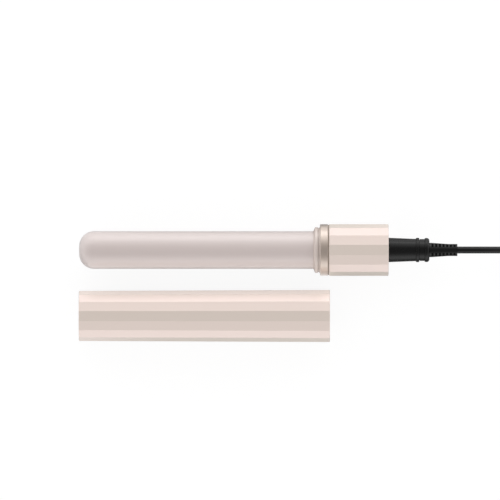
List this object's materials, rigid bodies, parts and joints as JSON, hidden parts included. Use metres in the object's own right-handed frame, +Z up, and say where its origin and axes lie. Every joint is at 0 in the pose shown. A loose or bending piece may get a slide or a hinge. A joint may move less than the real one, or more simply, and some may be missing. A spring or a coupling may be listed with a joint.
{
  "type": "curling wand",
  "caption": "Clipless curling wand with a round satin barrel, faceted pearl handle, swivel cord with a flat plug, and a matching pull-on cap lying beside it.",
  "frame": {"origin": "middle of the handle facet that rests on the table", "axes": "+X along the wand from the barrel towards the cord, +Y away from the cap, +Z up"},
  "size_m": [0.476, 0.0813, 0.0359],
  "materials": {
    "pearl": "satin pearl, pink champagne",
    "barrel_coat": "satin ceramic coat",
    "neck_moulding": "satin",
    "collar_metal": "brushed champagne",
    "gap_moulding": "matt",
    "black_moulding": "soft matt",
    "cord_jacket": "matt",
    "liner_moulding": "matt",
    "bush_moulding": "matt",
    "chassis_moulding": "matt",
    "steel": "plain",
    "spreader_metal": "extruded",
    "heater_ceramic": "fired",
    "film": "clear amber",
    "bead_glass": "clear",
    "wire_silicone": "soft",
    "board": "solder mask",
    "component": "moulded",
    "lamp": "clear",
    "lens": "frosted",
    "brass": "plain",
    "pin_plate": "nickel plated",
    "strap": "woven"
  },
  "bodies": {
    "wand": {"barrel": "barrel_coat", "neck_flange": "neck_moulding", "collar_ring": "collar_metal", "spacer_ring": "gap_moulding", "handle_shell": "pearl", "rear_cover": "pearl", "barrel_bush": "bush_moulding", "barrel_screws": "steel", "chassis_upper": "chassis_moulding", "chassis_lower": "chassis_moulding", "chassis_screws": "steel", "heat_spreader_upper": "spreader_metal", "heat_spreader_lower": "spreader_metal", "heater_plate": "heater_ceramic", "heater_films": "film", "spreader_springs": "steel", "thermistor": "bead_glass", "thermal_fuse": "steel", "heater_leads": "wire_silicone", "sensor_leads": "wire_silicone", "control_board": "board", "board_components": "component", "indicator_led": "lamp", "led_lens": "lens", "slide_switch": "component", "brush_holder": "component", "contact_brushes": "brass", "supply_leads": "wire_silicone", "cord_sleeve": "black_moulding", "cord_lead": "cord_jacket", "cord_coil": "cord_jacket", "plug_lead": "cord_jacket", "cord_tie": "strap", "plug_body": "black_moulding", "plug_pins": "pin_plate"},
    "cap": {"cap_shell": "pearl", "cap_liner": "liner_moulding"},
    "swivel": {"strain_relief": "black_moulding", "slip_ring_front": "brass", "slip_ring_rear": "brass", "swivel_clip": "steel"},
    "slider": {"switch_knob": "black_moulding"}
  },
  "joints": [
    {"name": "cap_lift", "type": "slide", "parent": "wand", "child": "cap", "axis": [0, 0, 1], "range_m": [0, 0.08]},
    {"name": "cord_swivel", "type": "hinge", "parent": "wand", "child": "swivel", "pos_m": [0.042, 0, 0.0178], "axis": [1, 0, 0], "continuous": true},
    {"name": "power_slide", "type": "slide", "parent": "wand", "child": "slider", "axis": [1, 0, 0], "range_m": [0, 0.0025]}
  ]
}
